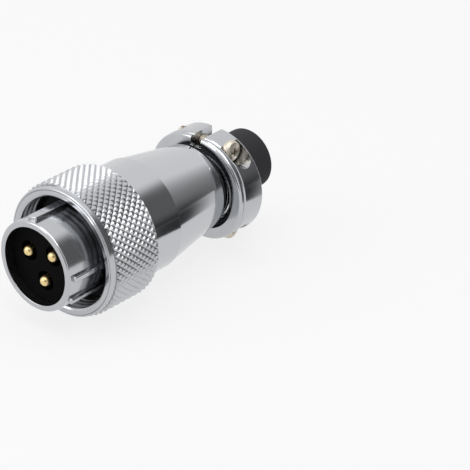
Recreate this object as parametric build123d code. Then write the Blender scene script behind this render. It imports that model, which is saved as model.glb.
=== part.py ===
from build123d import *
import math
import os

# Round three-pin cable plug with a knurled coupling nut and a screwed cable clamp.
# Millimetres. The origin is the centre of the shell's front rim. +X points out of the mouth,
# +Z points up through the split of the clamp, and the clamp screws go in from the +Y side.
# A station is a distance behind the rim, so it lies at x = -station.

# Clearances and working margins
face_gap = 0.05
fit_gap = 0.05
running_gap = 0.05
screw_gap = 0.15
cut_margin = 1.0
match_tolerance = 0.01

# Contacts
contact_count = 3
first_contact_angle = 50.0
contact_circle_radius = 4.25
pin_radius = 1.25
pin_setback = 1.3
pin_tip_flat = 0.03
contact_collar_height = 0.75
contact_collar_length = 1.4
shank_height = 0.25
shank_overhang = 0.4
cup_wall = 0.5
cup_bore_radius = 1.5
cup_length = 6.0
cup_depth = 4.8
cup_slot_length = 3.0

# Insulators
insert_setback = 2.5
well_gap = 1.05
well_depth = 9.5
well_floor = 1.5
insert_wall = 2.4
insert_flange_height = 0.5
insert_flange_length = 1.45
sealing_disc_thickness = 0.6
rear_insulator_length = 8.8

# Plug shell
sleeve_wall = 1.4
rim_round = 0.5
key_height = 0.9
key_setback = 1.0
wide_key_width = 2.5
wide_key_angle = -8.0
rib_width = 1.3
rib_angles = (87.0, 119.0)
face_gasket_thickness = 1.1
face_gasket_margin = 0.3
flange_lead = 0.35
flange_thickness = 2.0
flange_height = 2.0
journal_height = 1.3
spigot_step = 0.4
spigot_length = 5.6
insert_ring_length = 1.65
insert_ring_width = 1.9

# Coupling nut
nut_setback = 8.0
nut_thread_gap = 1.65
nut_thread_length = 7.5
nut_relief_depth = 0.6
mouth_chamfer = 0.3
nut_lip_length = 1.6
nut_lip_drop = 0.15
nut_lip_chamfer = 0.3
nut_wall = 2.1
knurl_depth = 0.45
knurl_pitch = 1.68
knurl_axial_pitch = 1.75
nut_shoulder_length = 4.1
nut_end_play = 0.15
nut_rear_gap = 0.3
slip_washer_thickness = 0.8
slip_washer_width = 0.7

# Seal ring between the shell and the back shell
o_ring_section = 0.8
o_ring_setback = 0.8
o_ring_side_gap = 0.15

# Back shell
barrel_wall = 1.85
barrel_length = 9.05
cone_step = 0.1
cone_length = 17.6
body_end_radius = 10.2
body_end_round = 0.35
cone_wall = 2.0
thread_runout = 0.6
tail_land = 2.1
tail_shoulder = 1.4
neck_radius = 7.9
collar_height = 1.1
collar_length = 0.9
collar_room = 0.15

# Cable sleeve and its washer
cable_radius = 4.75
nose_wall = 1.15
grip_wall = 2.35
nose_length = 5.5
sleeve_tail_length = 11.35
sleeve_end_round = 0.6
gland_washer_thickness = 0.25

# Cable clamp
neck_gasket_thickness = 1.4
neck_gasket_height = 2.2
clamp_rib_length = 0.85
clamp_length = 7.25
clamp_play = 0.4
mouth_chamfer_depth = 0.5
mouth_chamfer_height = 1.3
lip_drop = 0.05
lip_length = 0.95
lip_round = 0.8
groove_width = 0.25
groove_depth = 0.45
band_radius = 12.35
band_front_round = 0.7
band_rear_round = 0.2
split_width = 3.0
rest_gap = 0.02

# Clamp screws
screw_radius = 1.25
screw_head_radius = 2.45
screw_head_height = 1.9
screw_head_round = 0.8
screw_length = 14.5
screw_inset = 2.55
screw_seat = 6.1
notch_gap = 0.15
cross_width = 0.65
cross_length = 2.9
cross_depth = 1.1

# Radii that follow
insert_radius = contact_circle_radius + pin_radius + well_gap + insert_wall
insert_flange_radius = insert_radius + insert_flange_height
shell_bore_radius = insert_radius + fit_gap
shell_rear_radius = insert_flange_radius + fit_gap
sleeve_radius = shell_bore_radius + sleeve_wall
key_radius = sleeve_radius + key_height
flange_radius = sleeve_radius + flange_height
journal_radius = sleeve_radius + journal_height
spigot_radius = journal_radius - spigot_step
nut_thread_radius = key_radius + nut_thread_gap
nut_relief_radius = nut_thread_radius + nut_relief_depth
nut_root_radius = nut_thread_radius + nut_wall
nut_radius = nut_root_radius + knurl_depth
nut_lip_radius = nut_root_radius - nut_lip_drop
back_bore_radius = spigot_radius + fit_gap
barrel_radius = back_bore_radius + barrel_wall
nose_radius = cable_radius + nose_wall
grip_radius = cable_radius + grip_wall
tail_bore_radius = nose_radius + fit_gap
collar_radius = neck_radius + collar_height
notch_radius = screw_head_radius + notch_gap
lip_radius = band_radius - lip_drop
rib_bore_radius = neck_radius + clamp_play
screw_height = band_radius - screw_inset

# The opened clamp hangs down until the upper corners of its split rest on the neck
rest_height = math.sqrt((neck_radius + rest_gap) ** 2 - (split_width / 2) ** 2)
clamp_drop = rib_bore_radius - rest_height

# Stations that follow, from the mouth to the cable end
well_floor_station = insert_setback + well_depth
insert_shoulder = well_floor_station + well_floor
insert_rear = insert_shoulder + insert_flange_length
disc_front = insert_rear + face_gap
disc_rear = disc_front + sealing_disc_thickness
rear_insulator_front = disc_rear + face_gap
rear_insulator_rear = rear_insulator_front + rear_insulator_length
contact_collar_front = rear_insulator_front + face_gap
contact_collar_rear = contact_collar_front + contact_collar_length
insert_ring_front = rear_insulator_rear + face_gap
insert_ring_rear = insert_ring_front + insert_ring_length
cup_front = rear_insulator_rear + shank_overhang
cup_rear = cup_front + cup_length
flange_front = insert_rear + flange_lead
flange_rear = flange_front + flange_thickness
gasket_rear = flange_front - face_gap
gasket_front = gasket_rear - face_gasket_thickness
key_rear = gasket_front - face_gap
slip_washer_front = flange_rear + face_gap
slip_washer_rear = slip_washer_front + slip_washer_thickness
nut_shoulder_front = slip_washer_rear + nut_end_play
nut_rear = nut_shoulder_front + nut_shoulder_length
journal_rear = nut_rear + nut_rear_gap
spigot_rear = journal_rear + spigot_length
back_front = journal_rear + face_gap
barrel_rear = back_front + barrel_length
body_rear = barrel_rear + cone_length
neck_gasket_front = body_rear + face_gap
neck_gasket_rear = neck_gasket_front + neck_gasket_thickness
clamp_front = neck_gasket_rear + face_gap
clamp_rib_rear = clamp_front + clamp_rib_length
collar_front = clamp_rib_rear + face_gap
collar_rear = collar_front + collar_length
clamp_grip_front = collar_rear + collar_room
gland_washer_front = collar_rear + face_gap
gland_washer_rear = gland_washer_front + gland_washer_thickness
clamp_rear = clamp_front + clamp_length
grip_front = gland_washer_rear + face_gap
nose_front = grip_front - nose_length
sleeve_rear = clamp_rear + sleeve_tail_length
band_front = clamp_front + lip_length + groove_width
screw_station = (band_front + clamp_rear) / 2
clamp_middle = (clamp_front + clamp_rear) / 2


def turned(profile):
    """Solid turned about the X axis from (station, radius) corners."""
    face = make_face(Polyline([(-station, radius) for station, radius in profile], close=True))
    return revolve(face, Axis.X)


def tube(front, rear, inner, outer):
    """Plain turned ring between two stations."""
    return turned([(front, inner), (rear, inner), (rear, outer), (front, outer)])


def rod(front, rear, radius):
    """Plain turned bar between two stations, on the X axis."""
    return tube(front, rear, 0, radius)


def around(radius, angle):
    """Place on a circle about the X axis; the angle runs from +Z towards +Y."""
    turn = math.radians(angle)
    return Pos(0, radius * math.sin(turn), radius * math.cos(turn))


def contact_angle(index):
    """Angle of one contact on its circle."""
    return first_contact_angle + 360 / contact_count * index


def at_contacts(shape):
    """Copies of a shape, one at each contact."""
    angles = [contact_angle(index) for index in range(contact_count)]
    return [around(contact_circle_radius, angle) * shape for angle in angles]


def round_edges(shape, station, radius, size):
    """Rounds the circular edges of a turned solid at one station and radius."""
    picked = []
    for edge in shape.edges().filter_by(GeomType.CIRCLE):
        away = abs(edge.center(CenterOf.BOUNDING_BOX).X + station)
        if max(away, abs(edge.radius - radius)) < match_tolerance:
            picked.append(edge)
    return fillet(picked, size)


def front_insulator():
    """Moulded insulator with a deep well round each pin and a flange that seats in the shell."""
    body = rod(insert_setback, insert_rear, insert_radius)
    body += rod(insert_shoulder, insert_rear, insert_flange_radius)
    body -= at_contacts(rod(insert_setback - cut_margin, well_floor_station, pin_radius + well_gap))
    hole = rod(well_floor_station - cut_margin, insert_rear + cut_margin, pin_radius + fit_gap)
    return body - at_contacts(hole)


def sealing_disc():
    """Rubber disc pinched between the two insulators."""
    body = rod(disc_front, disc_rear, insert_flange_radius)
    return body - at_contacts(rod(disc_front - cut_margin, disc_rear + cut_margin, pin_radius + fit_gap))


def rear_insulator():
    """Rear insulator, with a pocket for each contact's collar and a hole for its shank."""
    body = rod(rear_insulator_front, rear_insulator_rear, insert_flange_radius)
    pocket_radius = pin_radius + contact_collar_height + fit_gap
    pocket = rod(rear_insulator_front - cut_margin, contact_collar_rear + face_gap, pocket_radius)
    body -= at_contacts(pocket)
    hole_radius = pin_radius + shank_height + fit_gap
    return body - at_contacts(rod(contact_collar_rear, rear_insulator_rear + cut_margin, hole_radius))


def contact():
    """One turned contact on the X axis: domed pin, collar, shank and open solder cup."""
    cup_radius = cup_bore_radius + cup_wall
    body = rod(pin_setback, contact_collar_front, pin_radius)
    body = round_edges(body, pin_setback, pin_radius, pin_radius - pin_tip_flat)
    body += rod(contact_collar_front, contact_collar_rear, pin_radius + contact_collar_height)
    body += rod(contact_collar_rear, cup_front, pin_radius + shank_height)
    body += rod(cup_front, cup_rear, cup_radius)
    body -= rod(cup_rear - cup_depth, cup_rear + cut_margin, cup_bore_radius)
    slot_length = cup_slot_length + cut_margin
    slot_middle = cup_rear + cut_margin - slot_length / 2
    return body - Pos(-slot_middle, 0, cup_radius) * Box(slot_length, 2 * cup_bore_radius, 2 * cup_radius)


def contact_pin(index):
    """A contact at its place, with the cup's opening turned outwards."""
    angle = contact_angle(index)
    return around(contact_circle_radius, angle) * Rot(-angle, 0, 0) * contact()


def key(width, angle):
    """A lengthwise key on the outside of the shell's sleeve."""
    inner = sleeve_radius - sleeve_wall / 2
    bar = Box(key_rear - key_setback, width, key_radius - inner)
    return Rot(-angle, 0, 0) * Pos(-(key_setback + key_rear) / 2, 0, (inner + key_radius) / 2) * bar


def plug_shell():
    """Turned shell: front sleeve with keys, flange, journal for the nut and rear spigot."""
    groove_front = journal_rear + o_ring_setback
    groove_rear = groove_front + o_ring_section + 2 * o_ring_side_gap
    groove_radius = back_bore_radius - o_ring_section - fit_gap
    outside = [
        (0, 0),
        (0, sleeve_radius),
        (flange_front, sleeve_radius),
        (flange_front, flange_radius),
        (flange_rear, flange_radius),
        (flange_rear, journal_radius),
        (journal_rear, journal_radius),
        (journal_rear, spigot_radius),
        (groove_front, spigot_radius),
        (groove_front, groove_radius),
        (groove_rear, groove_radius),
        (groove_rear, spigot_radius),
        (spigot_rear, spigot_radius),
        (spigot_rear, 0),
    ]
    body = round_edges(turned(outside), 0, sleeve_radius, rim_round)
    body += key(wide_key_width, wide_key_angle)
    for angle in rib_angles:
        body += key(rib_width, angle)
    body -= rod(-cut_margin, insert_shoulder, shell_bore_radius)
    return body - rod(insert_shoulder - face_gap, spigot_rear + cut_margin, shell_rear_radius)


def knurl_point(column, row, columns, rows, front, rear):
    """Corner of the diamond lattice; every second one is a peak."""
    angle = 2 * math.pi * column / columns
    radius = nut_root_radius if (column + row) % 2 == 0 else nut_radius
    x = -front - (rear - front) * row / rows
    return (x, radius * math.sin(angle), radius * math.cos(angle))


def knurled_bar(front, rear):
    """Solid bar with a full diamond knurl: a low four-sided pyramid on each diamond."""
    columns = 2 * round(2 * math.pi * nut_radius / knurl_pitch)
    rows = 2 * round((rear - front) / knurl_axial_pitch)

    def point(column, row):
        return knurl_point(column % columns, row, columns, rows, front, rear)

    faces = []
    for row in range(rows + 1):
        for column in range(1 - row % 2, columns, 2):
            peak = point(column, row)
            for beside in (point(column - 1, row), point(column + 1, row)):
                for other_row in (row - 1, row + 1):
                    if 0 <= other_row <= rows:
                        corners = [peak, beside, point(column, other_row)]
                        faces.append(Face(Wire.make_polygon(corners, close=True)))
    for row in (0, rows):
        rim = [point(column, row) for column in range(columns)]
        faces.append(Face(Wire.make_polygon(rim, close=True)))
    return Solid(Shell(faces))


def coupling_nut():
    """Knurled nut with a smooth front lip, threaded bore and inner shoulder."""
    knurl_front = nut_setback + nut_lip_length
    lip = [
        (nut_setback, 0),
        (nut_setback, nut_lip_radius - nut_lip_chamfer),
        (nut_setback + nut_lip_chamfer, nut_lip_radius),
        (knurl_front, nut_lip_radius),
        (knurl_front, 0),
    ]
    thread_rear = nut_setback + nut_thread_length
    shoulder_radius = journal_radius + running_gap
    bore = [
        (nut_setback - cut_margin, 0),
        (nut_setback - cut_margin, nut_thread_radius + mouth_chamfer),
        (nut_setback, nut_thread_radius + mouth_chamfer),
        (nut_setback + mouth_chamfer, nut_thread_radius),
        (thread_rear, nut_thread_radius),
        (thread_rear, nut_relief_radius),
        (nut_shoulder_front, nut_relief_radius),
        (nut_shoulder_front, shoulder_radius),
        (nut_rear + cut_margin, shoulder_radius),
        (nut_rear + cut_margin, 0),
    ]
    body = Part() + knurled_bar(knurl_front, nut_rear)
    return body + turned(lip) - turned(bore)


def face_gasket():
    """Flat rubber ring that seals against the mating socket."""
    return tube(gasket_front, gasket_rear, sleeve_radius + fit_gap, flange_radius - face_gasket_margin)


def slip_washer():
    """Ring that the nut's shoulder turns against."""
    inner = journal_radius + fit_gap
    return tube(slip_washer_front, slip_washer_rear, inner, inner + slip_washer_width)


def insert_ring():
    """Ring that holds the insulators in the shell."""
    outer = shell_rear_radius - fit_gap
    return tube(insert_ring_front, insert_ring_rear, outer - insert_ring_width, outer)


def shell_o_ring():
    """Rubber ring in the spigot's groove."""
    groove_radius = back_bore_radius - o_ring_section - fit_gap
    station = journal_rear + o_ring_setback + o_ring_side_gap + o_ring_section / 2
    major = groove_radius + fit_gap / 2 + o_ring_section / 2
    return Pos(-station, 0, 0) * Rot(0, 90, 0) * Torus(major, o_ring_section / 2)


def back_shell():
    """Long turned body: straight barrel, cone, neck and collar, open inside for the wires."""
    outside = [
        (back_front, 0),
        (back_front, barrel_radius),
        (barrel_rear, barrel_radius),
        (barrel_rear, barrel_radius - cone_step),
        (body_rear, body_end_radius),
        (body_rear, neck_radius),
        (collar_front, neck_radius),
        (collar_front, collar_radius),
        (collar_rear, collar_radius),
        (collar_rear, 0),
    ]
    land_front = body_rear - tail_land
    cavity_rear = land_front - tail_shoulder
    cone_slope = (barrel_radius - cone_step - body_end_radius) / cone_length
    cavity_rear_radius = barrel_radius - cone_step - cone_slope * (cavity_rear - barrel_rear) - cone_wall
    bore_rear = spigot_rear + thread_runout
    inside = [
        (back_front - cut_margin, 0),
        (back_front - cut_margin, back_bore_radius),
        (bore_rear, back_bore_radius),
        (barrel_rear, barrel_radius - cone_step - cone_wall),
        (cavity_rear, cavity_rear_radius),
        (land_front, tail_bore_radius),
        (collar_rear + cut_margin, tail_bore_radius),
        (collar_rear + cut_margin, 0),
    ]
    body = round_edges(turned(outside), body_rear, body_end_radius, body_end_round)
    return body - turned(inside)


def neck_gasket():
    """Black rubber ring between the back shell's end and the clamp."""
    inner = neck_radius + fit_gap
    return tube(neck_gasket_front, neck_gasket_rear, inner, neck_radius + neck_gasket_height)


def gland_washer():
    """Thin washer between the back shell's tail and the cable sleeve."""
    return tube(gland_washer_front, gland_washer_rear, nose_radius + fit_gap, grip_radius)


def cable_sleeve():
    """Rubber sleeve: a nose inside the back shell's tail and a long grip round the cable."""
    outside = [
        (nose_front, 0),
        (nose_front, nose_radius),
        (grip_front, nose_radius),
        (grip_front, grip_radius),
        (sleeve_rear, grip_radius),
        (sleeve_rear, 0),
    ]
    body = round_edges(turned(outside), sleeve_rear, grip_radius, sleeve_end_round)
    return body - rod(nose_front - cut_margin, sleeve_rear + cut_margin, cable_radius)


def screw_axis(side):
    """Place of a clamp screw: side is 1 for the upper one and -1 for the lower one."""
    return Pos(-screw_station, 0, side * screw_height - clamp_drop)


def along_y(start, end, radius):
    """Round bar along Y between two heights."""
    return Pos(0, (start + end) / 2, 0) * Rot(90, 0, 0) * Cylinder(radius, abs(end - start))


def notch(side):
    """Open notch over a screw's head: side is 1 for the upper screw and -1 for the lower one."""
    length = band_radius - screw_seat + split_width
    height = band_radius
    round_part = along_y(screw_seat, screw_seat + length, notch_radius)
    open_part = Box(2 * notch_radius, length, height)
    open_part = Pos(0, screw_seat + length / 2, side * height / 2) * open_part
    return screw_axis(side) * (round_part + open_part)


def clamp_ring():
    """The closed clamp as one ring: a rounded lip, a narrow groove and a band, on its own axis."""
    lip_rear = clamp_front + lip_length
    lip = round_edges(rod(clamp_front, lip_rear, lip_radius), clamp_front, lip_radius, lip_round)
    groove_floor = rod(lip_rear, band_front, lip_radius - groove_depth)
    band = rod(band_front, clamp_rear, band_radius)
    band = round_edges(band, band_front, band_radius, band_front_round)
    band = round_edges(band, clamp_rear, band_radius, band_rear_round)
    collar_bore_radius = collar_radius + clamp_play + 2 * fit_gap
    grip_bore_radius = grip_radius + clamp_play + fit_gap
    return lip + groove_floor + band - turned([
        (clamp_front - cut_margin, 0),
        (clamp_front - cut_margin, rib_bore_radius + mouth_chamfer_height),
        (clamp_front, rib_bore_radius + mouth_chamfer_height),
        (clamp_front + mouth_chamfer_depth, rib_bore_radius),
        (clamp_rib_rear, rib_bore_radius),
        (clamp_rib_rear, collar_bore_radius),
        (clamp_grip_front, collar_bore_radius),
        (clamp_grip_front, grip_bore_radius),
        (clamp_rear + cut_margin, grip_bore_radius),
        (clamp_rear + cut_margin, 0),
    ])


def clamp_half(side):
    """Half of the ring, moved out by half the split: side is 1 for the half under the screw heads."""
    length = clamp_length + cut_margin
    block = Box(length, 2 * band_radius, 2 * band_radius)
    half = clamp_ring() & Pos(-clamp_middle, side * band_radius, 0) * block
    half = Pos(0, side * split_width / 2, -clamp_drop) * half
    for place in (1, -1):
        half -= screw_axis(place) * along_y(-2 * band_radius, 2 * band_radius, screw_radius + screw_gap)
        half -= notch(place)
    return half


def clamp_screw(side):
    """Pan head screw with a cross recess, its head on the +Y side."""
    head = along_y(screw_seat, screw_seat + screw_head_height, screw_head_radius)
    rim = head.edges().filter_by(GeomType.CIRCLE).sort_by(Axis.Y)[-1]
    head = fillet(rim, screw_head_round)
    shank = along_y(screw_seat - screw_length, screw_seat, screw_radius)
    bar = Box(cross_length, 2 * cross_depth, cross_width)
    recess = Pos(0, screw_seat + screw_head_height, 0) * (bar + Rot(0, 90, 0) * bar)
    return screw_axis(side) * (head + shank - recess)


def build_pieces():
    """All pieces by name."""
    pieces = {
        "plug_shell": plug_shell(),
        "coupling_nut": coupling_nut(),
        "face_gasket": face_gasket(),
        "slip_washer": slip_washer(),
        "front_insulator": front_insulator(),
        "sealing_disc": sealing_disc(),
        "rear_insulator": rear_insulator(),
        "insert_ring": insert_ring(),
        "shell_o_ring": shell_o_ring(),
        "back_shell": back_shell(),
        "neck_gasket": neck_gasket(),
        "gland_washer": gland_washer(),
        "cable_sleeve": cable_sleeve(),
        "clamp_half_near": clamp_half(1),
        "clamp_half_far": clamp_half(-1),
        "clamp_screw_upper": clamp_screw(1),
        "clamp_screw_lower": clamp_screw(-1),
    }
    for index in range(contact_count):
        pieces[f"contact_pin_{index + 1}"] = contact_pin(index)
    return pieces


os.makedirs("parts", exist_ok=True)
for name, piece in build_pieces().items():
    piece.label = name
    export_step(piece, f"parts/{name}.step")
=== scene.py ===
"""Visible pieces, finishes, studio and camera for a round three-pin cable plug.

Lengths are metres. The plug's axis is X and its mouth faces +X. A station is a distance behind
the rim of the shell, so what lies at station s has x = -s. Angles round the axis run from +Z
towards +Y, the side that the clamp screws go in from.
"""

import math

import bmesh
import bpy
from bpy.props import FloatProperty, FloatVectorProperty, PointerProperty
from bpy.types import Operator, Panel, PropertyGroup
from mathutils import Matrix, Vector


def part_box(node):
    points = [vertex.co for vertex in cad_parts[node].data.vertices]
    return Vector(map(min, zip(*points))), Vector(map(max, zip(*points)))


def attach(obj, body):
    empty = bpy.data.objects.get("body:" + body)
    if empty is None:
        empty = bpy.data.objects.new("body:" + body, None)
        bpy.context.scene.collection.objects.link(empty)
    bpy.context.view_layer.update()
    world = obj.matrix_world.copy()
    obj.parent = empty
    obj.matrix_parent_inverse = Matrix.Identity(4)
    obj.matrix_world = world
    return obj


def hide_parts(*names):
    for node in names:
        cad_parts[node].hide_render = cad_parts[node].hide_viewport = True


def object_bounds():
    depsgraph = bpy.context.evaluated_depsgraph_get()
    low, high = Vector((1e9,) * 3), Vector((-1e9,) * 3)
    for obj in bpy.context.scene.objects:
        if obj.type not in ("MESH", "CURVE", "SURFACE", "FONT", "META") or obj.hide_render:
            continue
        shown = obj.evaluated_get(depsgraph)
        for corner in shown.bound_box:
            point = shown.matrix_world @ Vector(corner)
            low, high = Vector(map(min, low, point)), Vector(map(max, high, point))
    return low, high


bl_info = {
    "name": "Cable Plug Looks",
    "version": (1, 0, 0),
    "blender": (4, 5, 0),
    "location": "3D View > Sidebar > Cable Plug",
    "description": "Builds the visible pieces, finishes and studio of a three-pin cable plug",
    "category": "Object",
}

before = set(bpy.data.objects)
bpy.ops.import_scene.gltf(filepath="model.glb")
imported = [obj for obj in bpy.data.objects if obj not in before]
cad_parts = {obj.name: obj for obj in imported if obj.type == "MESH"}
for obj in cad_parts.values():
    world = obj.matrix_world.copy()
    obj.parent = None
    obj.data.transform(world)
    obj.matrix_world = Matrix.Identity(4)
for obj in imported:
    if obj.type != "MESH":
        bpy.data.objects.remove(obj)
cad_low, cad_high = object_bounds()

MM = 0.001
PLUG = "plug_body"
NUT = "nut"
TURNS = 192


# Sizes and colours that a user would change

class PlugKnurlSizes(PropertyGroup):
    """Diamond knurl of the coupling nut."""

    pitch: FloatProperty(
        name="Pitch", description="Distance between points round the nut",
        default=1.68 * MM, min=0.8 * MM, max=4 * MM, unit="LENGTH",
    )
    axial_pitch: FloatProperty(
        name="Axial pitch", description="Distance between points along the nut",
        default=1.75 * MM, min=0.8 * MM, max=4 * MM, unit="LENGTH",
    )
    depth: FloatProperty(
        name="Depth", description="Height of the points above the grooves",
        default=0.45 * MM, min=0.1 * MM, max=0.8 * MM, unit="LENGTH",
    )
    end_slope: FloatProperty(
        name="End slope", description="How steeply the points rise from each end of the knurl",
        default=1.1, min=0.3, max=4.0,
    )


class PlugThreadSizes(PropertyGroup):
    """Threads that show."""

    nut_pitch: FloatProperty(
        name="Nut pitch", description="Pitch of the coupling nut's thread",
        default=1.5 * MM, min=0.5 * MM, max=2 * MM, unit="LENGTH",
    )
    nut_depth: FloatProperty(
        name="Nut depth", description="Depth of the coupling nut's thread",
        default=0.54 * MM, min=0.1 * MM, max=0.6 * MM, unit="LENGTH",
    )
    screw_pitch: FloatProperty(
        name="Screw pitch", description="Pitch of the clamp screws' thread",
        default=0.45 * MM, min=0.3 * MM, max=0.8 * MM, unit="LENGTH",
    )
    screw_depth: FloatProperty(
        name="Screw depth", description="Depth of the clamp screws' thread",
        default=0.24 * MM, min=0.05 * MM, max=0.3 * MM, unit="LENGTH",
    )


class PlugEdgeSizes(PropertyGroup):
    """Rounds along edges."""

    keys: FloatProperty(
        name="Keys", description="Round on the edges of the shell's keys",
        default=0.32 * MM, min=0.02 * MM, max=0.4 * MM, unit="LENGTH",
    )
    body: FloatProperty(
        name="Back shell", description="Round on the edges of the back shell",
        default=0.08 * MM, min=0.02 * MM, max=0.2 * MM, unit="LENGTH",
    )
    clamp: FloatProperty(
        name="Clamp", description="Round on the cut edges of the clamp halves",
        default=0.12 * MM, min=0.02 * MM, max=0.2 * MM, unit="LENGTH",
    )


class PlugFinishes(PropertyGroup):
    """Colours of the finishes."""

    chrome: FloatVectorProperty(
        name="Chrome", description="Colour of the plated metal",
        default=(0.53, 0.54, 0.56), min=0, max=1, subtype="COLOR",
    )
    steel: FloatVectorProperty(
        name="Screw steel", description="Colour of the clamp screws",
        default=(0.6, 0.57, 0.52), min=0, max=1, subtype="COLOR",
    )
    gold: FloatVectorProperty(
        name="Gold", description="Colour of the contacts",
        default=(0.93, 0.72, 0.36), min=0, max=1, subtype="COLOR",
    )
    brass: FloatVectorProperty(
        name="Brass", description="Colour of the rings and washers inside",
        default=(0.72, 0.56, 0.28), min=0, max=1, subtype="COLOR",
    )
    insulator: FloatVectorProperty(
        name="Insulator", description="Colour of the moulded insulators",
        default=(0.004, 0.0036, 0.0037), min=0, max=1, subtype="COLOR",
    )
    rubber: FloatVectorProperty(
        name="Rubber", description="Colour of the sleeve and seals",
        default=(0.009, 0.009, 0.0105), min=0, max=1, subtype="COLOR",
    )
    floor: FloatVectorProperty(
        name="Floor", description="Colour of the floor",
        default=(0.86, 0.86, 0.87), min=0, max=1, subtype="COLOR",
    )


class PlugStudio(PropertyGroup):
    """Lights, floor and camera."""

    lens: FloatProperty(
        name="Lens", description="Focal length of the camera in millimetres on a 36 mm sensor",
        default=191.5, min=50, max=400,
    )
    overhead: FloatProperty(
        name="Overhead light", description="Brightness of the light over the plug",
        default=1.6, min=0, max=20,
    )
    side: FloatProperty(
        name="Side light", description="Brightness of the light on the mouth's side",
        default=1.8, min=0, max=20,
    )
    sparkle: FloatProperty(
        name="Sparkle light", description="Brightness of the small light that picks out edges",
        default=9.0, min=0, max=60,
    )
    surround: FloatProperty(
        name="Surround", description="Brightness of the pale surround on matt surfaces",
        default=0.45, min=0, max=2,
    )
    flag: FloatProperty(
        name="Dark flags", description="How dark the two large flags are in reflections",
        default=0.86, min=0, max=1, subtype="FACTOR",
    )


# Meshes

def rounded(corners, steps=4):
    """Closed outline from (station, radius, round) corners, each round drawn as an arc."""
    outline = []
    for index, (station, radius, size) in enumerate(corners):
        corner = Vector((station, radius))
        if size == 0:
            outline.append(corner)
            continue
        before = (Vector(corners[index - 1][:2]) - corner).normalized()
        after = (Vector(corners[(index + 1) % len(corners)][:2]) - corner).normalized()
        half = before.angle(after) / 2
        centre = corner + (before + after).normalized() * size / math.sin(half)
        start = corner + before * size / math.tan(half) - centre
        end = corner + after * size / math.tan(half) - centre
        sweep = math.atan2(start.x * end.y - start.y * end.x, start.dot(end))
        for step in range(steps + 1):
            turn = sweep * step / steps
            across = Vector((-start.y, start.x))
            outline.append(centre + start * math.cos(turn) + across * math.sin(turn))
    return outline


def on_axis(station, radius, turn):
    """Point at a station and radius, at an angle in radians round the axis."""
    return Vector((-station, radius * math.sin(turn), radius * math.cos(turn)))


def skin(bm, rings, closed=False):
    """Faces between rings of vertices; a ring of one vertex is a point on the axis."""
    pairs = list(zip(rings, rings[1:]))
    if closed:
        pairs.append((rings[-1], rings[0]))
    for first, second in pairs:
        count = max(len(first), len(second))
        for index in range(count):
            after = (index + 1) % count
            corners = [first[index % len(first)], first[after % len(first)]]
            corners += [second[after % len(second)], second[index % len(second)]]
            face = list(dict.fromkeys(corners))
            if len(face) > 2:
                bm.faces.new(face)


def turned(bm, outline, closed=True, turns=TURNS, height=None):
    """Turns an outline about the axis; height(station, radius, turn) is added to the radius."""
    rings = []
    for station, radius in outline:
        if radius == 0:
            rings.append([bm.verts.new(on_axis(station, 0, 0))])
            continue
        ring = []
        for index in range(turns):
            turn = 2 * math.pi * index / turns
            extra = height(station, radius, turn) if height else 0
            ring.append(bm.verts.new(on_axis(station, radius + extra, turn)))
        rings.append(ring)
    skin(bm, rings, closed)


def thread_run(front, rear, radius, pitch, parts=10):
    """Outline points along a threaded stretch, close enough together to carry its form."""
    count = math.ceil((rear - front) / pitch * parts)
    return [Vector((front + (rear - front) * step / count, radius)) for step in range(count + 1)]


def thread_form(station, turn, front, rear, pitch):
    """Height of a rounded vee thread, from 0 to 1, that runs out at both ends."""
    phase = ((station - front) / pitch + turn / (2 * math.pi)) % 1
    vee = 1 - abs(2 * phase - 1)
    form = min(max(1.25 * vee - 0.125, 0), 1)
    fade = min((station - front) / (pitch / 3), (rear - station) / (pitch / 3), 1)
    return form * max(fade, 0)


def make_piece(name, bm, body, slot, *materials, sharp=32):
    """Turns a bmesh into a shown piece with clean normals that rides on a body."""
    bmesh.ops.recalc_face_normals(bm, faces=bm.faces)
    mesh = bpy.data.meshes.new(name)
    bm.to_mesh(mesh)
    bm.free()
    for material in materials:
        mesh.materials.append(material)
    mesh.shade_smooth()
    mesh.set_sharp_from_angle(angle=math.radians(sharp))
    piece = bpy.data.objects.new(name, mesh)
    bpy.context.scene.collection.objects.link(piece)
    normals = piece.modifiers.new("even_normals", "WEIGHTED_NORMAL")
    normals.keep_sharp = True
    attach(piece, body)
    return piece


def half_ring(bm, outline, side):
    """Half of a turned ring on one side of the split, closed at both ends."""
    rings = []
    for station, radius in outline:
        turns = [side * math.pi * index / (TURNS // 2) for index in range(TURNS // 2 + 1)]
        rings.append([bm.verts.new(on_axis(station, radius, turn)) for turn in turns])
    for first, second in zip(rings, rings[1:] + rings[:1]):
        for index in range(TURNS // 2):
            bm.faces.new([first[index], first[index + 1], second[index + 1], second[index]])
    for end in (0, -1):
        bm.faces.new([ring[end] for ring in rings])


def bar(bm, centre, size, width):
    """Block with rounded edges, and the vertices that it is made of."""
    made = bmesh.ops.create_cube(bm, size=1.0)["verts"]
    bmesh.ops.scale(bm, vec=size, verts=made)
    bmesh.ops.translate(bm, vec=centre, verts=made)
    edges = list({edge for vert in made for edge in vert.link_edges})
    rounded_faces = bmesh.ops.bevel(
        bm, geom=edges, offset=width, offset_type="OFFSET", segments=4, profile=0.5, affect="EDGES",
    )["faces"]
    return list({vert for face in rounded_faces for vert in face.verts})


# Shader nodes

def put(tree, kind, inputs=None, **settings):
    """Adds a node; an input takes a plain value or another node's output."""
    node = tree.nodes.new(kind)
    for name, value in settings.items():
        setattr(node, name, value)
    for name, value in (inputs or {}).items():
        if isinstance(value, bpy.types.NodeSocket):
            tree.links.new(value, node.inputs[name])
        else:
            node.inputs[name].default_value = value
    return node


def maths(tree, operation, first, second=0.0):
    """Output of a math node."""
    return put(tree, "ShaderNodeMath", {0: first, 1: second}, operation=operation).outputs[0]


def spread(tree, value, low, high):
    """Output that runs from low to high as a value runs from 0 to 1."""
    return put(tree, "ShaderNodeMapRange", {"Value": value, "To Min": low, "To Max": high}).outputs[0]


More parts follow.
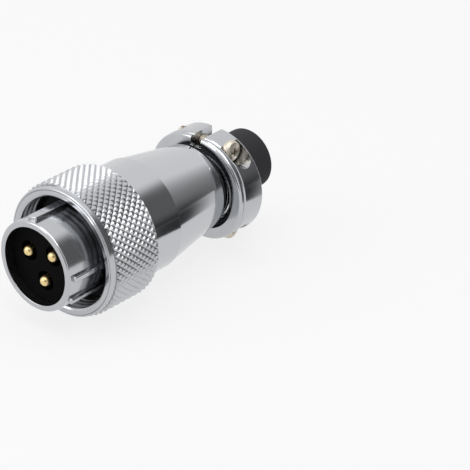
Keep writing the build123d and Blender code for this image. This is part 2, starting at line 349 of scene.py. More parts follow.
def new_group(name, inputs, outputs):
    """Empty shader group with named sockets: its tree, what comes in and what goes out."""
    tree = bpy.data.node_groups.new(name, "ShaderNodeTree")
    for label, kind, value in inputs:
        socket = tree.interface.new_socket(label, in_out="INPUT", socket_type=kind)
        if value is not None:
            socket.default_value = value
    for label in outputs:
        tree.interface.new_socket(label, in_out="OUTPUT", socket_type="NodeSocketFloat")
    return tree, put(tree, "NodeGroupInput").outputs, put(tree, "NodeGroupOutput").inputs


def send(tree, value, socket):
    """Links an output to a group's own output."""
    tree.links.new(value, socket)


def turning_marks():
    """Group: fine rings left by the lathe, which wander a little round the axis."""
    tree, given, result = new_group(
        "Turning Marks",
        [("Vector", "NodeSocketVector", None), ("Spacing", "NodeSocketFloat", 0.12 * MM)],
        ["Height"],
    )
    parts = put(tree, "ShaderNodeSeparateXYZ", {"Vector": given["Vector"]})
    wander = put(tree, "ShaderNodeTexNoise", {"Vector": given["Vector"], "Scale": 90.0, "Detail": 1.0})
    drift = maths(tree, "MULTIPLY", wander.outputs[0], 0.0004)
    along = maths(tree, "DIVIDE", maths(tree, "ADD", parts.outputs["X"], drift), given["Spacing"])
    fine = put(tree, "ShaderNodeTexNoise", {"W": along, "Scale": 1.0, "Detail": 3.0}, noise_dimensions="1D")
    send(tree, fine.outputs[0], result["Height"])
    return tree


def plating_mottle():
    """Group: soft cloudiness of a plated surface with a fine blasted grain."""
    tree, given, result = new_group(
        "Plating Mottle",
        [
            ("Vector", "NodeSocketVector", None),
            ("Cloud Scale", "NodeSocketFloat", 220.0),
            ("Grain Scale", "NodeSocketFloat", 9000.0),
        ],
        ["Cloud", "Grain"],
    )
    cloud = put(
        tree, "ShaderNodeTexNoise",
        {"Vector": given["Vector"], "Scale": given["Cloud Scale"], "Detail": 4.0, "Roughness": 0.6},
    )
    grain = put(
        tree, "ShaderNodeTexNoise",
        {"Vector": given["Vector"], "Scale": given["Grain Scale"], "Detail": 2.0, "Roughness": 0.55},
    )
    send(tree, cloud.outputs[0], result["Cloud"])
    send(tree, grain.outputs[0], result["Grain"])
    return tree


def handling_marks():
    """Group: a few hairline scratches and specks of dust."""
    tree, given, result = new_group(
        "Handling Marks",
        [("Vector", "NodeSocketVector", None), ("Amount", "NodeSocketFloat", 0.3)],
        ["Scratches", "Dust"],
    )
    total = None
    for stretch, turn in (((9.0, 1.0, 1.0), 0.4), ((1.0, 11.0, 1.0), 1.3)):
        place = put(
            tree, "ShaderNodeMapping",
            {"Vector": given["Vector"], "Rotation": (turn, turn, turn), "Scale": stretch},
        )
        lines = put(
            tree, "ShaderNodeTexVoronoi", {"Vector": place.outputs[0], "Scale": 260.0},
            feature="DISTANCE_TO_EDGE",
        )
        thin = maths(tree, "LESS_THAN", lines.outputs["Distance"], 0.004)
        total = thin if total is None else maths(tree, "MAXIMUM", total, thin)
    patches = put(tree, "ShaderNodeTexNoise", {"Vector": given["Vector"], "Scale": 160.0, "Detail": 2.0})
    here = maths(tree, "GREATER_THAN", patches.outputs[0], maths(tree, "SUBTRACT", 0.75, given["Amount"]))
    send(tree, maths(tree, "MULTIPLY", total, here), result["Scratches"])
    specks = put(tree, "ShaderNodeTexVoronoi", {"Vector": given["Vector"], "Scale": 1500.0})
    speck = maths(tree, "LESS_THAN", specks.outputs["Distance"], 0.09)
    send(tree, maths(tree, "MULTIPLY", speck, given["Amount"]), result["Dust"])
    return tree


def moulded_grain():
    """Group: fine surface of moulded rubber or plastic, with faint flow clouds."""
    tree, given, result = new_group(
        "Moulded Grain",
        [("Vector", "NodeSocketVector", None), ("Scale", "NodeSocketFloat", 5000.0)],
        ["Height", "Cloud"],
    )
    pits = put(tree, "ShaderNodeTexVoronoi", {"Vector": given["Vector"], "Scale": given["Scale"]})
    fine = put(
        tree, "ShaderNodeTexNoise", {"Vector": given["Vector"], "Scale": given["Scale"], "Detail": 3.0},
    )
    cloud = put(tree, "ShaderNodeTexNoise", {"Vector": given["Vector"], "Scale": 180.0, "Detail": 3.0})
    send(tree, maths(tree, "ADD", pits.outputs["Distance"], fine.outputs[0]), result["Height"])
    send(tree, cloud.outputs[0], result["Cloud"])
    return tree


def shared(group):
    """The group's tree, built the first time that it is asked for."""
    name = group.__name__.replace("_", " ").title()
    return bpy.data.node_groups.get(name) or group()


def use(tree, group, vector, **values):
    """Outputs of a shared group, placed in a material with its own values."""
    node = put(tree, "ShaderNodeGroup", node_tree=shared(group))
    tree.links.new(vector, node.inputs["Vector"])
    for name, value in values.items():
        node.inputs[name.replace("_", " ")].default_value = value
    return node.outputs


def blank_material(name):
    """Material with a Principled shader, and the object's own coordinates."""
    material = bpy.data.materials.new(name)
    material.use_nodes = True
    tree = material.node_tree
    tree.nodes.clear()
    shader = put(tree, "ShaderNodeBsdfPrincipled")
    put(tree, "ShaderNodeOutputMaterial", {"Surface": shader.outputs[0]})
    return material, tree, shader, put(tree, "ShaderNodeTexCoord").outputs["Object"]


def tint(tree, mask, colour, factor):
    """Colour that goes from the plain one to a lighter or darker one with a mask."""
    other = [min(part * factor, 1) for part in colour]
    ends = {"Factor": mask, 6: (*colour, 1), 7: (*other, 1)}
    return put(tree, "ShaderNodeMix", ends, data_type="RGBA").outputs[2]


def metal(name, colour, rough, turned_bump, grain_bump, rough_spread=0.05, spacing=0.12 * MM):
    """Turned or blasted metal: lathe rings, plating clouds and grain, hairlines and dust."""
    material, tree, shader, place = blank_material(name)
    rings = use(tree, turning_marks, place, Spacing=spacing)
    plate = use(tree, plating_mottle, place)
    marks = use(tree, handling_marks, place, Amount=0.12)
    tree.links.new(tint(tree, plate["Cloud"], colour, 0.9), shader.inputs["Base Color"])
    cloud = spread(tree, plate["Cloud"], rough - rough_spread, rough + rough_spread)
    worn = maths(tree, "ADD", cloud, maths(tree, "MULTIPLY", marks["Dust"], 0.6))
    tree.links.new(worn, shader.inputs["Roughness"])
    shader.inputs["Metallic"].default_value = 1.0
    lathe = put(tree, "ShaderNodeBump", {"Height": rings["Height"], "Strength": 1.0, "Distance": turned_bump})
    grain = put(
        tree, "ShaderNodeBump",
        {"Height": plate["Grain"], "Strength": 1.0, "Distance": grain_bump, "Normal": lathe.outputs[0]},
    )
    hairs = put(
        tree, "ShaderNodeBump",
        {"Height": marks["Scratches"], "Strength": 0.4, "Distance": 0.004 * MM, "Normal": grain.outputs[0]},
        invert=True,
    )
    tree.links.new(hairs.outputs[0], shader.inputs["Normal"])
    return material


def moulding(name, colour, rough, bump, specular, scale=5000.0):
    """Moulded rubber or plastic."""
    material, tree, shader, place = blank_material(name)
    grain = use(tree, moulded_grain, place, Scale=scale)
    marks = use(tree, handling_marks, place, Amount=0.2)
    tree.links.new(tint(tree, grain["Cloud"], colour, 1.5), shader.inputs["Base Color"])
    cloud = spread(tree, grain["Cloud"], rough - 0.06, rough + 0.06)
    worn = maths(tree, "ADD", cloud, maths(tree, "MULTIPLY", marks["Dust"], 0.3))
    tree.links.new(worn, shader.inputs["Roughness"])
    shader.inputs["Specular IOR Level"].default_value = specular
    bumps = put(tree, "ShaderNodeBump", {"Height": grain["Height"], "Strength": 0.6, "Distance": bump})
    tree.links.new(bumps.outputs[0], shader.inputs["Normal"])
    return material


def finish(name):
    """The named finish, built the first time that it is asked for."""
    if name in bpy.data.materials:
        return bpy.data.materials[name]
    colours = bpy.context.scene.plug_finishes
    # The nut's bore and thread take the chrome at half its colour: painted shade for the recess.
    shaded_chrome = [part * 0.5 for part in colours.chrome]
    makers = {
        "bright_chrome": lambda: metal(name, colours.chrome, 0.17, 0.0006 * MM, 0.0004 * MM),
        "satin_chrome": lambda: metal(name, colours.chrome, 0.3, 0.001 * MM, 0.0012 * MM),
        "thread_shaded_chrome": lambda: metal(name, shaded_chrome, 0.3, 0.001 * MM, 0.002 * MM),
        "knurl_chrome": lambda: metal(name, colours.chrome, 0.2, 0.0, 0.001 * MM),
        "cast_chrome": lambda: metal(name, colours.chrome, 0.15, 0.0, 0.003 * MM),
        "screw_steel": lambda: metal(name, colours.steel, 0.14, 0.001 * MM, 0.003 * MM),
        "gold_plate": lambda: metal(name, colours.gold, 0.3, 0.001 * MM, 0.0006 * MM),
        "turned_brass": lambda: metal(name, colours.brass, 0.25, 0.002 * MM, 0.001 * MM),
        "insulator_black": lambda: moulding(name, colours.insulator, 0.6, 0.002 * MM, 0.02),
        "seal_rubber": lambda: moulding(name, colours.rubber, 0.6, 0.004 * MM, 0.15),
        "sleeve_rubber": lambda: moulding(name, colours.rubber, 0.5, 0.006 * MM, 0.2, scale=3000.0),
    }
    return makers[name]()


def dress(node, name):
    """Gives a carried-over solid its finish."""
    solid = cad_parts[node]
    solid.data.materials.clear()
    solid.data.materials.append(finish(name))


# Cuts

def cutter_object(bm):
    """Turns a bmesh into a loose object for a cut."""
    mesh = bpy.data.meshes.new("cutter")
    bm.to_mesh(mesh)
    bm.free()
    cutter = bpy.data.objects.new("cutter", mesh)
    bpy.context.scene.collection.objects.link(cutter)
    return cutter


def round_cutter(middle, start, end, radius):
    """Round bar along Y through a screw's place."""
    place = Matrix.Translation((middle.x, (start + end) / 2, middle.z))
    place @= Matrix.Rotation(math.pi / 2, 4, "X")
    bm = bmesh.new()
    bmesh.ops.create_cone(
        bm, cap_ends=True, segments=96, radius1=radius, radius2=radius, depth=end - start, matrix=place,
    )
    return cutter_object(bm)


def block_cutter(middle, seat, length, rise, half_width):
    """Block from a screw's axis outwards, which opens the notch over its head."""
    bm = bmesh.new()
    bmesh.ops.create_cube(bm, size=1.0)
    bmesh.ops.scale(bm, vec=(2 * half_width, length, abs(rise)), verts=bm.verts)
    bmesh.ops.translate(bm, vec=(middle.x, seat + length / 2, middle.z + rise / 2), verts=bm.verts)
    return cutter_object(bm)


def cross_cutter(depth, length, width):
    """Tapered cross that points along the axis, for a screw's recess."""
    bm = bmesh.new()
    for turn in (0, math.pi / 2):
        made = bmesh.ops.create_cube(bm, size=1.0)["verts"]
        for vert in made:
            outside = vert.co.x > 0
            half_length = length / 2 if outside else length / 4
            half_width = width / 2 if outside else width / 3
            x = depth if outside else -depth
            vert.co = Vector((x, 2 * vert.co.y * half_length, 2 * vert.co.z * half_width))
        bmesh.ops.rotate(bm, verts=made, cent=(0, 0, 0), matrix=Matrix.Rotation(turn, 3, "X"))
    return cutter_object(bm)


def cut(piece, cutter):
    """Takes a cutter out of a piece and deletes the cutter."""
    modifier = piece.modifiers.new("cut", "BOOLEAN")
    modifier.operation = "DIFFERENCE"
    modifier.solver = "EXACT"
    modifier.use_self = True
    modifier.object = cutter
    with bpy.context.temp_override(object=piece, active_object=piece):
        bpy.ops.object.modifier_move_to_index(modifier="cut", index=0)
        bpy.ops.object.modifier_apply(modifier="cut")
    bpy.data.objects.remove(cutter)


# Pieces

def station_span(node):
    """Front and rear station of a solid, and its outer radius."""
    low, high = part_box(node)
    return -high.x, -low.x, high.z


def knurl(bm, front, rear, radius, sizes):
    """Diamond points between two stations: a blunt four-sided point on each diamond."""
    profile = ((0.0, 1.0), (0.2, 0.99), (0.32, 0.86), (0.86, 0.07), (1.0, 0.0))
    columns = 2 * round(2 * math.pi * radius / sizes.pitch)
    rows = 2 * round((rear - front) / sizes.axial_pitch)
    root = radius - sizes.depth

    def place(column, row, share):
        station = front + (rear - front) * row / rows
        end = min(station - front, rear - station)
        height = min(share * sizes.depth, sizes.end_slope * end + 0.04 * MM)
        return bm.verts.new(on_axis(station, root + height, 2 * math.pi * column / columns))

    sides = ((-1, 0), (0, 1), (1, 0), (0, -1))
    for row in range(rows + 1):
        for column in range(1 - row % 2, columns, 2):
            for first, second in zip(sides, sides[1:] + sides[:1]):
                if not 0 <= row + first[1] + second[1] <= rows:
                    continue
                strip = []
                for out, share in profile:
                    strip.append([
                        place(column + out * side[0], row + out * side[1], share)
                        for side in (first, second)
                    ])
                bm.faces.new([strip[0][0], strip[1][0], strip[1][1]])
                bm.verts.remove(strip[0][1])
                for inner, outer in zip(strip[1:], strip[2:]):
                    bm.faces.new([inner[0], outer[0], outer[1], inner[1]])
    bmesh.ops.remove_doubles(bm, verts=bm.verts, dist=0.002 * MM)


def boundary_at(bm, station):
    """Open edges that lie at one station."""
    found = []
    for edge in bm.edges:
        if edge.is_boundary and all(abs(vert.co.x + station) < 0.001 * MM for vert in edge.verts):
            found.append(edge)
    return found


class PLUG_OT_coupling_nut(Operator):
    """Knurled coupling nut with its inner thread"""

    bl_idname = "plug.coupling_nut"
    bl_label = "Coupling nut"

    def execute(self, context):
        scene = context.scene
        threads = scene.plug_threads
        front, rear, radius = station_span("coupling_nut")
        lip_rear = front + 1.6 * MM
        lip = radius - 0.6 * MM
        bore = 12.95 * MM
        thread_front = front + 0.3 * MM
        thread_rear = front + 5.0 * MM
        relief = bore + 0.6 * MM
        shoulder = front + 10.3 * MM
        shoulder_bore = 11.75 * MM
        groove_front = front + 0.12 * MM
        groove_bottom = front + 0.3 * MM
        groove_inner = lip - 0.62 * MM
        bm = bmesh.new()
        knurl(bm, lip_rear, rear, radius, scene.plug_knurl)
        points = set(bm.faces)
        outline = [Vector((lip_rear, lip))]
        outline += rounded([
            (lip_rear, lip, 0), (groove_front, lip, 0.3 * MM),
            (groove_front, lip - 0.42 * MM, 0.02 * MM), (groove_bottom, lip - 0.5 * MM, 0.02 * MM),
            (front, groove_inner, 0.05 * MM), (front, bore + 0.4 * MM, 0.08 * MM),
            (thread_front, bore, 0),
        ])[1:-1]
        outline += thread_run(thread_front, thread_rear, bore, threads.nut_pitch)
        outline += [
            Vector((thread_rear, relief)), Vector((shoulder, relief)),
            Vector((shoulder, shoulder_bore)), Vector((rear, shoulder_bore)), Vector((rear, lip)),
        ]

        def thread(station, at_radius, turn):
            if abs(at_radius - bore) > 0.001 * MM:
                return 0
            form = thread_form(station, turn, thread_front, thread_rear, threads.nut_pitch)
            return threads.nut_depth * form

        turned(bm, outline, closed=False, height=thread)
        for station in (lip_rear, rear):
            bmesh.ops.bridge_loops(bm, edges=boundary_at(bm, station))
        # Faces inside the bore get the half-bright chrome: painted shade for the recess.
        for face in set(bm.faces) - points:
            middle = face.calc_center_median()
            inside = math.hypot(middle.y, middle.z) < bore + 0.7 * MM and -middle.x > thread_front
            face.material_index = 2 if inside else 1
        finishes = [finish(name) for name in ("knurl_chrome", "bright_chrome", "thread_shaded_chrome")]
        nut = make_piece("knurled_nut", bm, NUT, "chrome", *finishes, sharp=30)
        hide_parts("coupling_nut")
        return {"FINISHED"}


class PLUG_OT_shell(Operator):
    """Keyed plug shell"""

    bl_idname = "plug.shell"
    bl_label = "Keyed shell"

    def execute(self, context):
        front, rear, _ = station_span("plug_shell")
        sleeve = 10.4 * MM
        bore = 9.0 * MM
        flange = sleeve + 2.0 * MM
        journal = sleeve + 1.3 * MM
        spigot = journal - 0.4 * MM
        groove = 10.5 * MM
        flange_front = 15.3 * MM
        flange_rear = 17.3 * MM
        bore_step = 13.4 * MM
        journal_rear = rear - 5.6 * MM
        groove_front = journal_rear + 0.8 * MM
        groove_rear = journal_rear + 1.9 * MM
        edge = 0.1 * MM
        bm = bmesh.new()
        turned(bm, rounded([
            (front, bore, 0.15 * MM), (front, sleeve, 0.5 * MM),
            (flange_front, sleeve, 0.05 * MM), (flange_front, flange, edge),
            (flange_rear, flange, edge), (flange_rear, journal, 0.05 * MM),
            (journal_rear, journal, edge), (journal_rear, spigot, 0.05 * MM),
            (groove_front, spigot, 0), (groove_front, groove, 0),
            (groove_rear, groove, 0), (groove_rear, spigot, 0),
            (rear, spigot, edge), (rear, bore + 0.5 * MM, edge),
            (bore_step, bore + 0.5 * MM, 0), (bore_step, bore, 0),
        ], steps=6))
        key_top = 11.3 * MM
        key_root = 9.7 * MM
        key_length = 13.1 * MM
        key_middle = 7.55 * MM
        for width, angle in ((2.5, -8), (1.3, 87), (1.3, 119)):
            middle = Vector((-key_middle, 0, (key_top + key_root) / 2))
            size = Vector((key_length, width * MM, key_top - key_root))
            made = bar(bm, middle, size, context.scene.plug_edges.keys)
            turn = Matrix.Rotation(math.radians(-angle), 3, "X")
            bmesh.ops.rotate(bm, verts=made, cent=(0, 0, 0), matrix=turn)
        shell = make_piece("keyed_shell", bm, PLUG, "chrome", finish("bright_chrome"), sharp=24)
        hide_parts("plug_shell")
        return {"FINISHED"}


class PLUG_OT_back_shell(Operator):
    """Back shell with its barrel, cone and neck"""

    bl_idname = "plug.back_shell"
    bl_label = "Back shell"

    def execute(self, context):
        front, rear, barrel = station_span("back_shell")
        edge = context.scene.plug_edges.body
        barrel_rear = front + 9.05 * MM
        cone = barrel - 0.1 * MM
        cone_rear = barrel_rear + 17.6 * MM
        cone_end = barrel - 3.0 * MM
        collar_front = rear - 0.9 * MM
        neck = barrel - 5.3 * MM
        collar = neck + 1.1 * MM
        tail_bore = 5.95 * MM
        bm = bmesh.new()
        turned(bm, rounded([
            (front, barrel - 1.85 * MM, edge), (front, barrel, edge),
            (barrel_rear, barrel, 0.04 * MM), (barrel_rear, cone, 0.04 * MM),
            (cone_rear, cone_end, 0.35 * MM), (cone_rear, neck, edge),
            (collar_front, neck, edge), (collar_front, collar, edge),
            (rear, collar, edge), (rear, tail_bore, edge),
            (cone_rear - 2.1 * MM, tail_bore, 0), (cone_rear - 3.5 * MM, 8.78 * MM, 0),
            (barrel_rear, cone - 2.0 * MM, 0), (front + 6.15 * MM, barrel - 1.85 * MM, 0),
        ]))
        body = make_piece("long_back_shell", bm, PLUG, "satin_chrome", finish("satin_chrome"), sharp=7)
        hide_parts("back_shell")
        return {"FINISHED"}


class PLUG_OT_insert(Operator):
    """Insulators, contacts and the rings inside"""

    bl_idname = "plug.insert"
    bl_label = "Insert and rings"

    def execute(self, context):
        for node in ("front_insulator", "rear_insulator"):
            dress(node, "insulator_black")
        for index in (1, 2, 3):
            dress(f"contact_pin_{index}", "gold_plate")
        for node in ("sealing_disc", "face_gasket", "shell_o_ring"):
            dress(node, "seal_rubber")
        front, rear, peak = station_span("neck_gasket")
        inner = 7.95 * MM
        edge = 0.1 * MM
        bm = bmesh.new()
        turned(bm, rounded([
            (front, inner, edge), (front, peak - 0.8 * MM, edge),
            (rear, peak - 0.8 * MM, edge), (rear, inner, edge),
        ]))
        ring = make_piece("neck_ring", bm, PLUG, "seal_rubber", finish("seal_rubber"))
        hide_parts("neck_gasket")
        for node in ("insert_ring", "slip_washer", "gland_washer"):
            dress(node, "turned_brass")
        return {"FINISHED"}


class PLUG_OT_clamp(Operator):
    """Both halves of the cable clamp"""

    bl_idname = "plug.clamp"
    bl_label = "Cable clamp"

    def execute(self, context):
        half_split = 1.5 * MM
        screw_head = 1.9 * MM
        hole_radius = 1.4 * MM
        notch_radius = 2.75 * MM
        reach = 20 * MM
        for side, name in ((1, "near"), (-1, "far")):
            front, rear, _ = station_span(f"clamp_half_{name}")
            low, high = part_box(f"clamp_half_{name}")
            radius = (high.z - low.z) / 2
            drop = radius - high.z
            lip = radius - 0.05 * MM
            rib = 8.3 * MM
            collar_bore = rib + 1.2 * MM
            grip_bore = rib - 0.75 * MM
            groove = lip - 0.55 * MM
            lip_rear = front + 0.9 * MM
            band_front = front + 1.25 * MM
            rib_rear = front + 0.85 * MM
            grip_front = front + 1.95 * MM
            bm = bmesh.new()
            half_ring(bm, rounded([
                (front, rib + 1.3 * MM, 0.1 * MM), (front, lip, 0.75 * MM),
                (lip_rear, lip, 0.08 * MM), (lip_rear, groove, 0),
                (band_front, groove, 0), (band_front, radius, 0.65 * MM),
                (rear, radius, 0.2 * MM), (rear, grip_bore, 0.1 * MM),
                (grip_front, grip_bore, 0), (grip_front, collar_bore, 0),
                (rib_rear, collar_bore, 0), (rib_rear, rib, 0.08 * MM),
                (front + 0.5 * MM, rib, 0.08 * MM),
            ]), side)
            bmesh.ops.translate(bm, vec=(0, side * half_split, -drop), verts=bm.verts)
            half = make_piece(f"clamp_{name}", bm, PLUG, "chrome", finish("cast_chrome"))
            for place in ("upper", "lower"):
                screw_low, screw_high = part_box(f"clamp_screw_{place}")
                middle = (screw_low + screw_high) / 2
                seat = screw_high.y - screw_head
                away = 1 if middle.z > 0 else -1
                cut(half, round_cutter(middle, -reach, reach, hole_radius))
                if side == 1:
                    cut(half, round_cutter(middle, seat, seat + reach, notch_radius))
                    cut(half, block_cutter(middle, seat, reach, away * reach, notch_radius))
            half.data.shade_smooth()
            half.data.set_sharp_from_angle(angle=math.radians(30))
            rounds = half.modifiers.new("cut_edges", "BEVEL")
            rounds.width = context.scene.plug_edges.clamp
            rounds.segments = 2
            rounds.angle_limit = math.radians(35)
            half.modifiers.move(1, 0)
            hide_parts(f"clamp_half_{name}")
        return {"FINISHED"}


class PLUG_OT_screws(Operator):
    """Pan head clamp screws with cross recesses"""

    bl_idname = "plug.screws"
    bl_label = "Clamp screws"

    def execute(self, context):
        threads = context.scene.plug_threads
        for side in ("upper", "lower"):
            low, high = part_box(f"clamp_screw_{side}")
            length = high.y - low.y
            head_radius = (high.z - low.z) / 2
            shank = 1.25 * MM
            head = 1.9 * MM
            cross_depth = 1.1 * MM
            cross_length = 2.9 * MM
            cross_width = 0.65 * MM
            tip_front = length - 0.5 * MM
            bm = bmesh.new()
            outline = rounded([
                (0, 0, 0), (0, head_radius * 0.35, 0), (0.12 * MM, head_radius * 0.7, 0),
                (0.42 * MM, head_radius * 0.93, 0.3 * MM), (head * 0.6, head_radius, 0.3 * MM),
                (head, head_radius, 0.1 * MM), (head, shank, 0),
            ])
            outline += thread_run(head + 0.05 * MM, tip_front, shank, threads.screw_pitch, parts=6)
            outline += [Vector((length, shank * 0.7)), Vector((length, 0))]

            def groove(station, at_radius, turn):
                if abs(at_radius - shank) > 0.001 * MM:
                    return 0
                form = thread_form(station, -turn, head, tip_front, threads.screw_pitch)
                return -threads.screw_depth * form

            turned(bm, outline, closed=False, turns=64, height=groove)
            screw = make_piece(f"pan_screw_{side}", bm, PLUG, "screw_steel", finish("screw_steel"))
            cut(screw, cross_cutter(cross_depth, cross_length, cross_width))
            middle = (low + high) / 2
            turn = Matrix.Rotation(math.pi / 2, 4, "Z")
            screw.data.transform(Matrix.Translation((middle.x, high.y, middle.z)) @ turn)
            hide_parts(f"clamp_screw_{side}")
        return {"FINISHED"}


class PLUG_OT_sleeve(Operator):
    """Rubber cable sleeve"""

    bl_idname = "plug.sleeve"
    bl_label = "Cable sleeve"

    def execute(self, context):
        front, rear, grip = station_span("cable_sleeve")
        grip_front = front + 5.5 * MM
        nose = grip - 1.2 * MM
        bore = grip - 2.35 * MM
        bm = bmesh.new()
        turned(bm, rounded([
            (front, bore, 0.2 * MM), (front, nose, 0.3 * MM), (grip_front, nose, 0.05 * MM),
            (grip_front, grip, 0.15 * MM), (rear, grip, 0.6 * MM), (rear, bore, 0.35 * MM),
        ]))
        sleeve = make_piece("rubber_sleeve", bm, PLUG, "sleeve_rubber", finish("sleeve_rubber"))
        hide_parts("cable_sleeve")
        return {"FINISHED"}


# Studio

def seen_ray(tree):
    """1 for rays that show the background: from the camera, a mirror or clear glass."""
    rays = put(tree, "ShaderNodeLightPath").outputs
    either = maths(tree, "MAXIMUM", rays["Is Camera Ray"], rays["Is Glossy Ray"])
    return maths(tree, "MAXIMUM", either, rays["Is Transmission Ray"])


def white_surround(brightness):
    """World that shows white, and lights matt surfaces at a plain level."""
    world = bpy.data.worlds.new("white_surround")
    bpy.context.scene.world = world
    world.use_nodes = True
    tree = world.node_tree
    tree.nodes.clear()
    shown = put(tree, "ShaderNodeBackground", {"Color": (1, 1, 1, 1), "Strength": 1.0})
    lit = put(tree, "ShaderNodeBackground", {"Color": (1, 1, 1, 1), "Strength": brightness})
    mix = put(tree, "ShaderNodeMixShader", {0: seen_ray(tree), 1: lit.outputs[0], 2: shown.outputs[0]})
    put(tree, "ShaderNodeOutputWorld", {"Surface": mix.outputs[0]})


def floor_material(colour):
    """Pale floor that shows nearly white and keeps the plug's shadow."""
    material, tree, shader, place = blank_material("pale_floor")
    grain = use(tree, moulded_grain, place, Scale=900.0)
    tree.links.new(tint(tree, grain["Cloud"], colour, 0.98), shader.inputs["Base Color"])
    shader.inputs["Roughness"].default_value = 0.8
    shader.inputs["Specular IOR Level"].default_value = 0.0
    white = put(tree, "ShaderNodeEmission", {"Color": (1, 1, 1, 1), "Strength": 1.0})
    whiteness = 0.8
    share = maths(tree, "MULTIPLY", seen_ray(tree), whiteness)
    mix = put(tree, "ShaderNodeMixShader", {0: share, 1: shader.outputs[0], 2: white.outputs[0]})
    output = next(node for node in tree.nodes if node.type == "OUTPUT_MATERIAL")
    tree.links.new(mix.outputs[0], output.inputs["Surface"])
    return material


def towards(azimuth, elevation, distance):
    """Point in a direction from the plug's middle; azimuth runs from +X towards +Y."""
    turn = math.radians(azimuth)
    rise = math.radians(elevation)
    ahead = Vector((math.cos(turn) * math.cos(rise), math.sin(turn) * math.cos(rise), math.sin(rise)))
    return (cad_low + cad_high) / 2 + ahead * distance


def aim(thing, target):
    """Turns a light or a panel to face a point."""
    thing.rotation_euler = (target - thing.location).to_track_quat("-Z", "Y").to_euler()


def softbox(name, azimuth, elevation, distance, size, brightness):
    """Square area light of even brightness that faces the plug."""
    lamp = bpy.data.lights.new(name, "AREA")
    lamp.size = size
    lamp.energy = brightness * math.pi * size * size
    box = bpy.data.objects.new(name, lamp)
    bpy.context.scene.collection.objects.link(box)
    box.location = towards(azimuth, elevation, distance)
    aim(box, (cad_low + cad_high) / 2)


def flag_material(name, size, solid_shares, darkness):
    """Matt dark cloth that fades out towards its sides and its top."""
    material, tree, shader, place = blank_material(name)
    grain = use(tree, moulded_grain, place, Scale=300.0)
    tree.links.new(tint(tree, grain["Cloud"], (0.02, 0.02, 0.022), 1.2), shader.inputs["Base Color"])
    shader.inputs["Roughness"].default_value = 0.9
    shader.inputs["Specular IOR Level"].default_value = 0.0
    parts = put(tree, "ShaderNodeSeparateXYZ", {"Vector": place})
    kept = None
    for axis, length, solid_share in (("X", size[0] / 2, solid_shares[0]), ("Y", size[1], solid_shares[1])):
        share = maths(tree, "DIVIDE", maths(tree, "ABSOLUTE", parts.outputs[axis]), length)
        limits = {"Value": share, "From Min": solid_share, "From Max": 1.0, "To Min": 1.0, "To Max": 0.0}
        fade = put(tree, "ShaderNodeMapRange", limits, interpolation_type="SMOOTHSTEP").outputs[0]
        kept = fade if kept is None else maths(tree, "MULTIPLY", kept, fade)
    clear = put(tree, "ShaderNodeBsdfTransparent")
    opacity = maths(tree, "MULTIPLY", kept, darkness)
    mix = put(tree, "ShaderNodeMixShader", {0: opacity, 1: clear.outputs[0], 2: shader.outputs[0]})
    output = next(node for node in tree.nodes if node.type == "OUTPUT_MATERIAL")
    tree.links.new(mix.outputs[0], output.inputs["Surface"])
    return material


def dark_flag(name, around, azimuth, distance, size, solid_shares, darkness):
    """Upright flag that stands on the floor and that only reflections show."""
    width, height = size
    bm = bmesh.new()
    corners = [bm.verts.new((x * width / 2, y * height, 0)) for x, y in ((-1, 0), (1, 0), (1, 1), (-1, 1))]
    bm.faces.new(corners)
    mesh = bpy.data.meshes.new(name)
    bm.to_mesh(mesh)
    bm.free()
    mesh.materials.append(flag_material(name, size, solid_shares, darkness))
    panel = bpy.data.objects.new(name, mesh)
    bpy.context.scene.collection.objects.link(panel)
    turn = math.radians(azimuth)
    foot = around + Vector((math.cos(turn), math.sin(turn), 0)) * distance
    panel.location = (foot.x, foot.y, cad_low.z + 0.1 * MM)
    panel.rotation_euler = (math.radians(90), 0, turn - math.radians(90))
    panel.visible_camera = False
    panel.visible_diffuse = False
    panel.visible_shadow = False


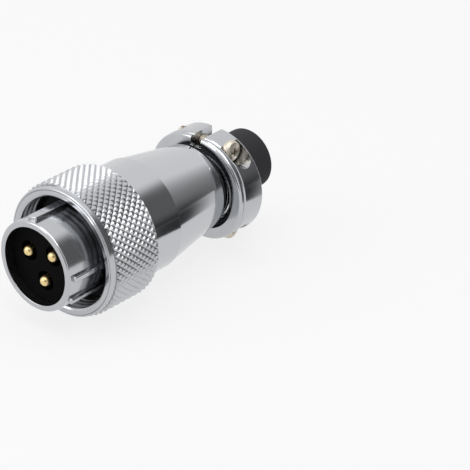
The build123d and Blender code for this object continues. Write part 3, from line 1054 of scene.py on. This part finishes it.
class PLUG_OT_stage(Operator):
    """Floor, lights, surround and camera"""

    bl_idname = "plug.stage"
    bl_label = "Studio"

    def execute(self, context):
        scene = context.scene
        studio = scene.plug_studio
        scene.view_settings.view_transform = "Standard"
        white_surround(studio.surround)
        bm = bmesh.new()
        bmesh.ops.create_grid(bm, x_segments=1, y_segments=1, size=3.0)
        mesh = bpy.data.meshes.new("floor")
        bm.to_mesh(mesh)
        bm.free()
        mesh.materials.append(floor_material(scene.plug_finishes.floor))
        floor = bpy.data.objects.new("floor", mesh)
        scene.collection.objects.link(floor)
        floor.location.z = cad_low.z
        softbox("overhead_light", 0, 90, 0.9, 0.75, studio.overhead)
        softbox("side_light", -35, 32, 0.8, 0.5, studio.side)
        softbox("sparkle_light", 62, 58, 0.7, 0.12, studio.sparkle)
        barrel = Vector((-27 * MM, 0, 0))
        dark_flag("tall_flag", barrel, 130, 0.5, (1.15, 0.95), (0.15, 0.5), studio.flag)
        dark_flag("low_flag", barrel, 132, 0.06, (0.044, 0.034), (0.5, 0.4), 0.97)
        dark_flag("camera_flag", Vector((0, 0, 0)), 43, 0.3, (0.34, 0.36), (0.4, 0.6), studio.flag)
        lens = bpy.data.cameras.new("plug_camera")
        lens.lens = studio.lens
        lens.sensor_width = 36
        lens.clip_start = 0.01
        camera = bpy.data.objects.new("plug_camera", lens)
        scene.collection.objects.link(camera)
        camera.location = (0.3205, 0.3320, 0.2646)
        camera.rotation_euler = [math.radians(angle) for angle in (60.873, -0.898, 131.236)]
        scene.camera = camera
        return {"FINISHED"}


class VIEW3D_PT_plug(Panel):
    """Lists the plug's sizes and steps"""

    bl_idname = "VIEW3D_PT_plug"
    bl_label = "Cable Plug"
    bl_space_type = "VIEW_3D"
    bl_region_type = "UI"
    bl_category = "Cable Plug"

    def draw(self, context):
        for operator in STEPS:
            self.layout.operator(operator.bl_idname)
        for name, group in GROUPS.items():
            box = self.layout.box()
            box.label(text=group.__doc__.rstrip("."))
            for key in group.__annotations__:
                box.prop(getattr(context.scene, name), key)


GROUPS = {
    "plug_knurl": PlugKnurlSizes,
    "plug_threads": PlugThreadSizes,
    "plug_edges": PlugEdgeSizes,
    "plug_finishes": PlugFinishes,
    "plug_studio": PlugStudio,
}
STEPS = (
    PLUG_OT_stage,
    PLUG_OT_coupling_nut,
    PLUG_OT_shell,
    PLUG_OT_back_shell,
    PLUG_OT_insert,
    PLUG_OT_clamp,
    PLUG_OT_screws,
    PLUG_OT_sleeve,
)


def register():
    """Registers the property groups, the steps and the panel."""
    for name, group in GROUPS.items():
        bpy.utils.register_class(group)
        setattr(bpy.types.Scene, name, PointerProperty(type=group))
    for step in (*STEPS, VIEW3D_PT_plug):
        bpy.utils.register_class(step)


def unregister():
    """Takes back what register added."""
    for step in (VIEW3D_PT_plug, *reversed(STEPS)):
        bpy.utils.unregister_class(step)
    for name, group in reversed(GROUPS.items()):
        delattr(bpy.types.Scene, name)
        bpy.utils.unregister_class(group)


def main():
    """Builds every piece and the studio."""
    register()
    bpy.ops.plug.stage()
    bpy.ops.plug.coupling_nut()
    bpy.ops.plug.shell()
    bpy.ops.plug.back_shell()
    bpy.ops.plug.insert()
    bpy.ops.plug.clamp()
    bpy.ops.plug.screws()
    bpy.ops.plug.sleeve()


if __name__ == "__main__":
    main()
